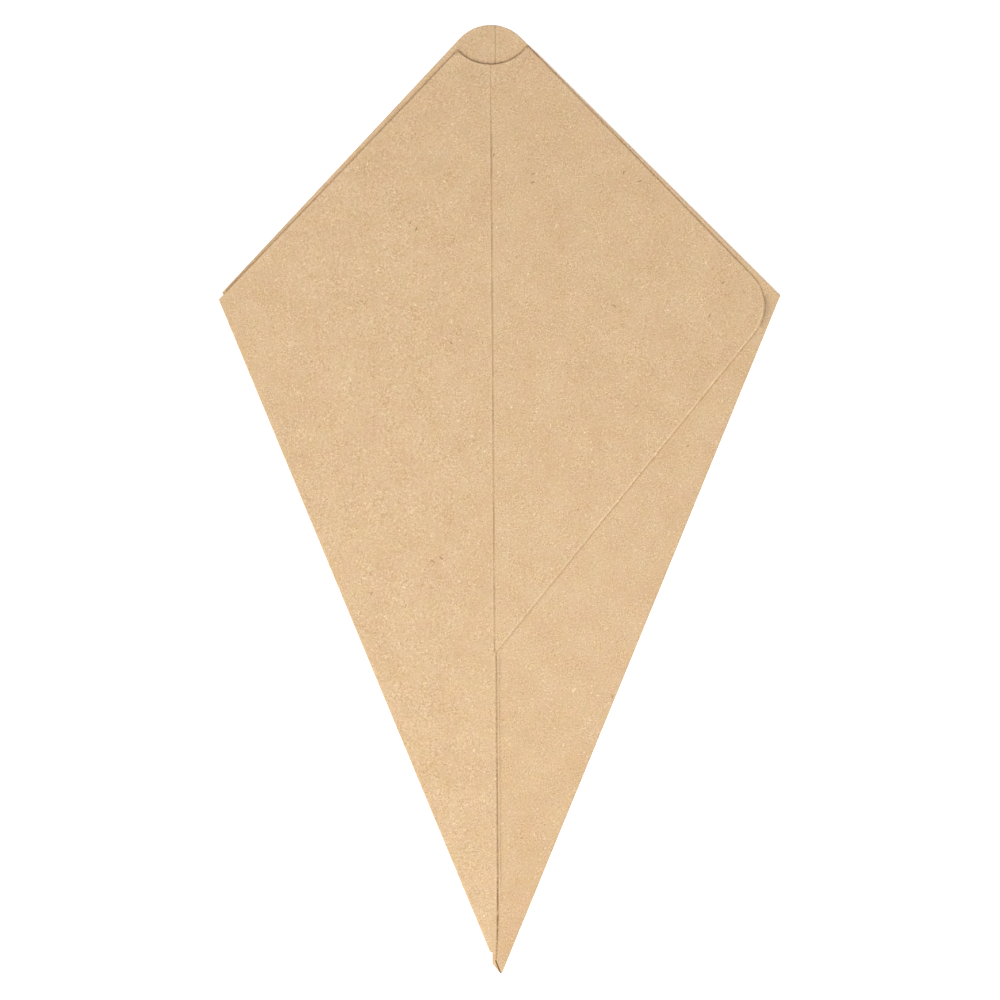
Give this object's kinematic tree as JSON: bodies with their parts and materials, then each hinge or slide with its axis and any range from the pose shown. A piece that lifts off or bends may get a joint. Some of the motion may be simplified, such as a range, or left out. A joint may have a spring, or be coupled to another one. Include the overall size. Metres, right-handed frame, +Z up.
{
  "type": "fry cone",
  "caption": "Flat-packed kraft card fry cone, folded and glued from one blank, with a rounded rear top and a thumb notch for opening it.",
  "frame": {"origin": "under the middle of the box round the flat cone, on the surface that the rear panels lie on", "axes": "+X across the cone from the left fold to the right fold, +Y from the point to the mouth, +Z up out of the rear panels through the front"},
  "size_m": [0.173, 0.2922, 0.0012],
  "materials": {
    "kraft_card": "uncoated brown kraft board, matt, flecked with light and dark fibres"
  },
  "bodies": {
    "root": {"folded_card": "kraft_card"}
  },
  "joints": []
}
